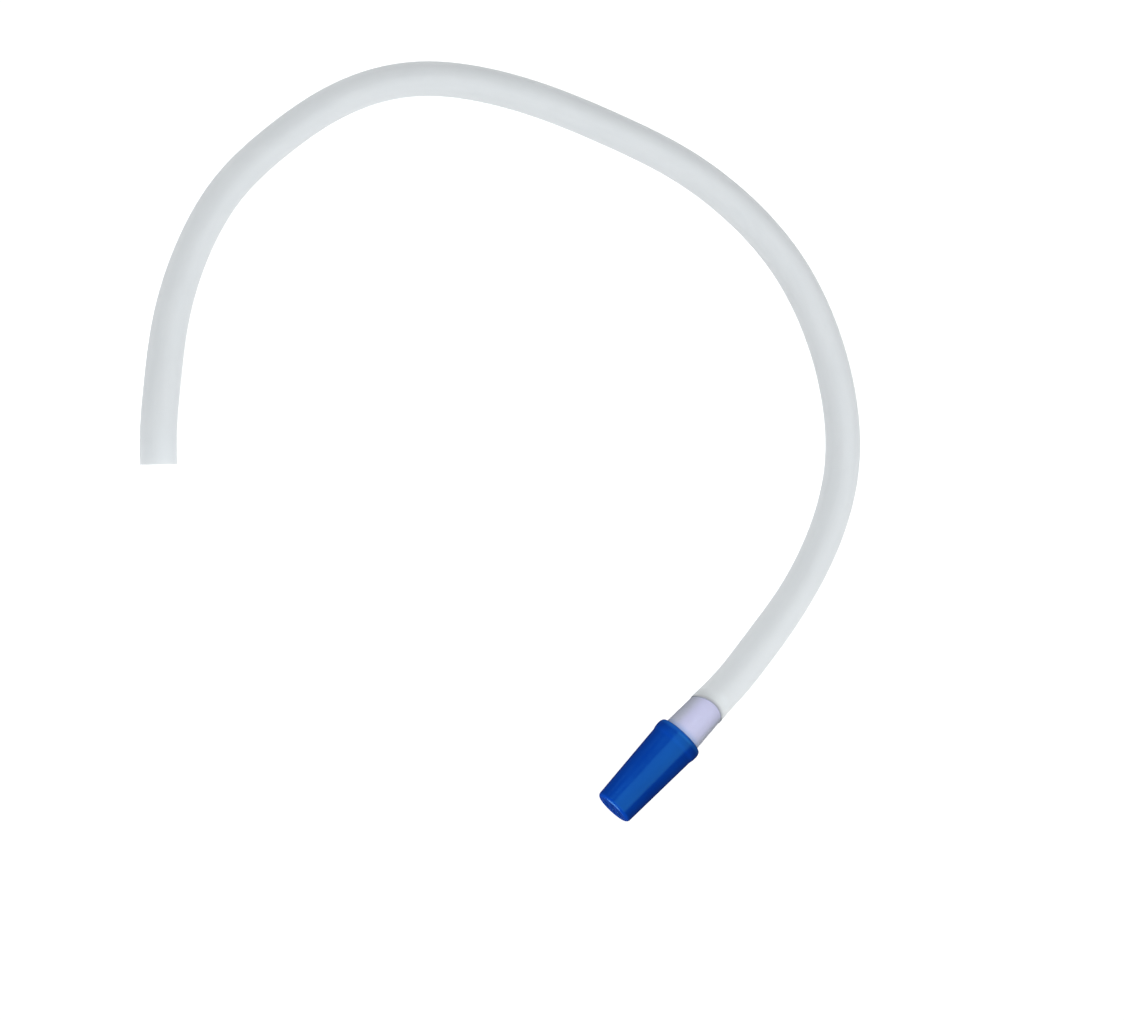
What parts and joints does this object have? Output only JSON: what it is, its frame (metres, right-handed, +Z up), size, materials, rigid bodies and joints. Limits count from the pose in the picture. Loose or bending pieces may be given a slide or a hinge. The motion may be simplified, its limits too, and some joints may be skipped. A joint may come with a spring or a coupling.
{
  "type": "saliva ejector tip",
  "caption": "Saliva ejector tip: soft suction hose held in an open arc by an inner wire, with a clear tapered stem and a blue flared cap that twists and pulls off.",
  "frame": {"origin": "on the surface the part lies on, under the tip's axis, midway between the stem's nose and the cap's inlet end", "axes": "+X along the tip's axis, pointing out of the cap's inlet; +Z up from the surface"},
  "size_m": [0.1117, 0.1336, 0.0091],
  "materials": {
    "hose_milky_pvc": "milky translucent soft PVC, smooth satin",
    "wire_steel": "bright drawn wire",
    "stem_clear_pvc": "clear with a lilac tint, gloss",
    "cap_blue_pvc": "opaque royal blue, soft gloss"
  },
  "bodies": {
    "hose": {"suction_hose": "hose_milky_pvc", "shaping_wire": "wire_steel"},
    "stem": {"tip_stem": "stem_clear_pvc"},
    "cap": {"tip_cap": "cap_blue_pvc"}
  },
  "joints": [
    {"name": "tip_swivel", "type": "hinge", "parent": "hose", "child": "stem", "pos_m": [-0.01195, 0, 0.00455], "axis": [1, 0, 0], "continuous": true},
    {"name": "cap_pull_off", "type": "slide", "parent": "stem", "child": "cap", "axis": [1, 0, 0], "range_m": [0, 0.02]}
  ]
}
